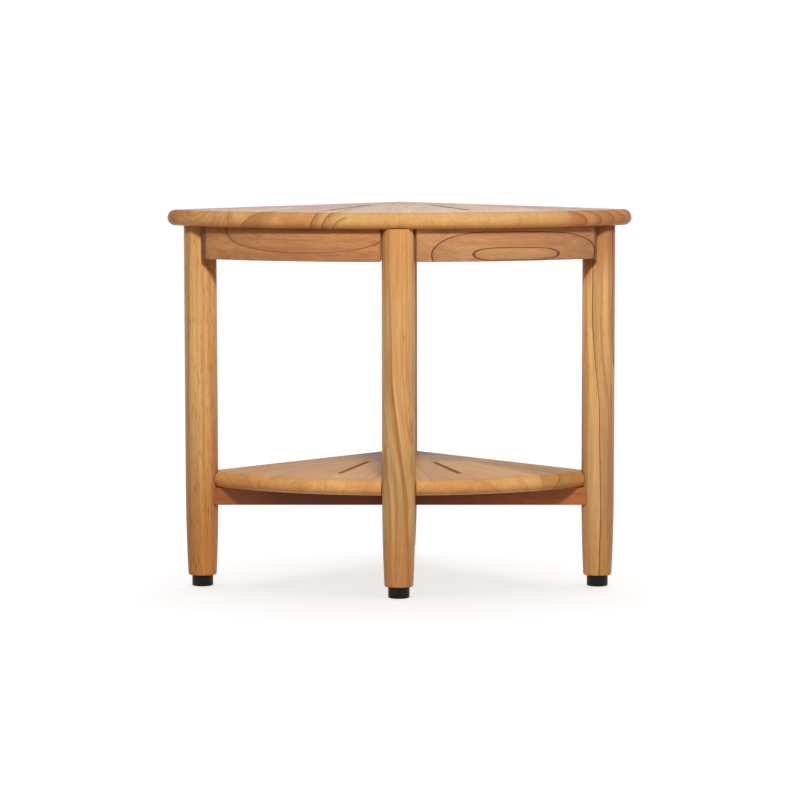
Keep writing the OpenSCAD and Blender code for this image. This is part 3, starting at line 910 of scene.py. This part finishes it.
black_rubber = rubber("black rubber")
zinc = metal("zinc plated steel", (190, 192, 196), 0.34)
brass = metal("brass", (196, 160, 88), 0.36)
for place in LEGS:
    dress("foot_pad_" + place, black_rubber)
    dress("foot_stud_" + place, zinc)
for name in ("seat_screws", "shelf_screws"):
    dress(name, zinc)
dress("leg_inserts", brass)
print("finishes:", black_rubber.name, zinc.name, brass.name)

# %% [markdown]
# ## Eased edges
# No maker leaves a sharp arris on a shower stool: every edge gets a stroke of sandpaper. A small
# bevel does the same for the packed solids and gives each edge its thin line of light. The packed
# meshes are cut open along their sharp edges, so a weld has to close them before the bevel.

# %% Ease the edges of the wood
SEAM_WIDTH = 0.00001
EASED = 0.0006
SHARP = math.radians(40)        # an edge that turns less than this is part of a curve
WOOD_WORDS = ("board", "block", "leg_", "apron", "rail")


def ease(name):
    piece = pieces[name]
    weld = piece.modifiers.new("close the seams", "WELD")
    weld.merge_threshold = SEAM_WIDTH
    bevel = piece.modifiers.new("sandpaper", "BEVEL")
    bevel.width = EASED
    bevel.segments = 2
    bevel.limit_method = "ANGLE"
    bevel.angle_limit = SHARP
    bevel.harden_normals = True


wooden = [name for name in pieces if any(word in name for word in WOOD_WORDS)]
wooden.remove("leg_inserts")
for name in wooden:
    ease(name)
print("eased pieces:", len(wooden))

# %% [markdown]
# ## Threads
# When a foot is turned out, its steel stud shows, and a stud without a thread would look wrong. An
# M8 thread climbs 1.25 mm with each turn. Here one strip of faces winds round the stud: its lower
# row of points is the groove and its upper row the crest, and the groove of each turn is shared
# with the turn above it. Towards both ends the crest sinks into the groove, as where a real
# thread runs out.

# %% Cut the threads
THREAD_PITCH = 0.00125
THREAD_DEPTH = 0.0007
TURN_STEPS = 24


def threaded_stud(name, x, y, low, high, radius):
    root = radius - THREAD_DEPTH
    turns = int((high - low) / THREAD_PITCH) - 1
    steps = turns * TURN_STEPS
    bm = bmesh.new()

    def point(r, step, z):
        angle = 2 * math.pi * step / TURN_STEPS
        return bm.verts.new((x + r * math.cos(angle), y + r * math.sin(angle), z))

    def climb(step):
        return low + (high - low) * step / (steps + TURN_STEPS)

    rise = climb(TURN_STEPS) - low
    grooves = [point(root, i, climb(i)) for i in range(steps + TURN_STEPS + 1)]
    crests = []
    for i in range(steps + 1):
        swell = min(1.0, i / TURN_STEPS, (steps - i) / TURN_STEPS)
        crests.append(point(root + swell * THREAD_DEPTH, i, climb(i) + rise / 2))
    for i in range(steps):
        over = i + TURN_STEPS
        bm.faces.new((grooves[i], grooves[i + 1], crests[i + 1], crests[i]))
        bm.faces.new((crests[i], crests[i + 1], grooves[over + 1], grooves[over]))
    foot = bm.verts.new((x, y, low))
    head = bm.verts.new((x, y, high))
    for i in range(TURN_STEPS):
        bm.faces.new((foot, grooves[i + 1], grooves[i]))
        bm.faces.new((head, grooves[steps + i], grooves[steps + i + 1]))
    bm.faces.new((foot, crests[0], grooves[TURN_STEPS]))
    bm.faces.new((foot, grooves[0], crests[0]))
    bm.faces.new((head, grooves[steps + TURN_STEPS], crests[steps]))
    bm.faces.new((head, crests[steps], grooves[steps]))
    bmesh.ops.recalc_face_normals(bm, faces=bm.faces)
    mesh = bpy.data.meshes.new(name)
    bm.to_mesh(mesh)
    bm.free()
    mesh.materials.append(zinc)
    return put(name, mesh)


for place in LEGS:
    axis = middle("leg_" + place)
    low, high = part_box("foot_stud_" + place)
    stud = threaded_stud("threaded_stud_" + place, axis.x, axis.y, low[2], high[2],
                         (high[0] - low[0]) / 2)
    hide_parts("foot_stud_" + place)
    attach(stud, "foot_" + place + "_stud")
    print(stud.name, len(stud.data.polygons), "faces")

# %% [markdown]
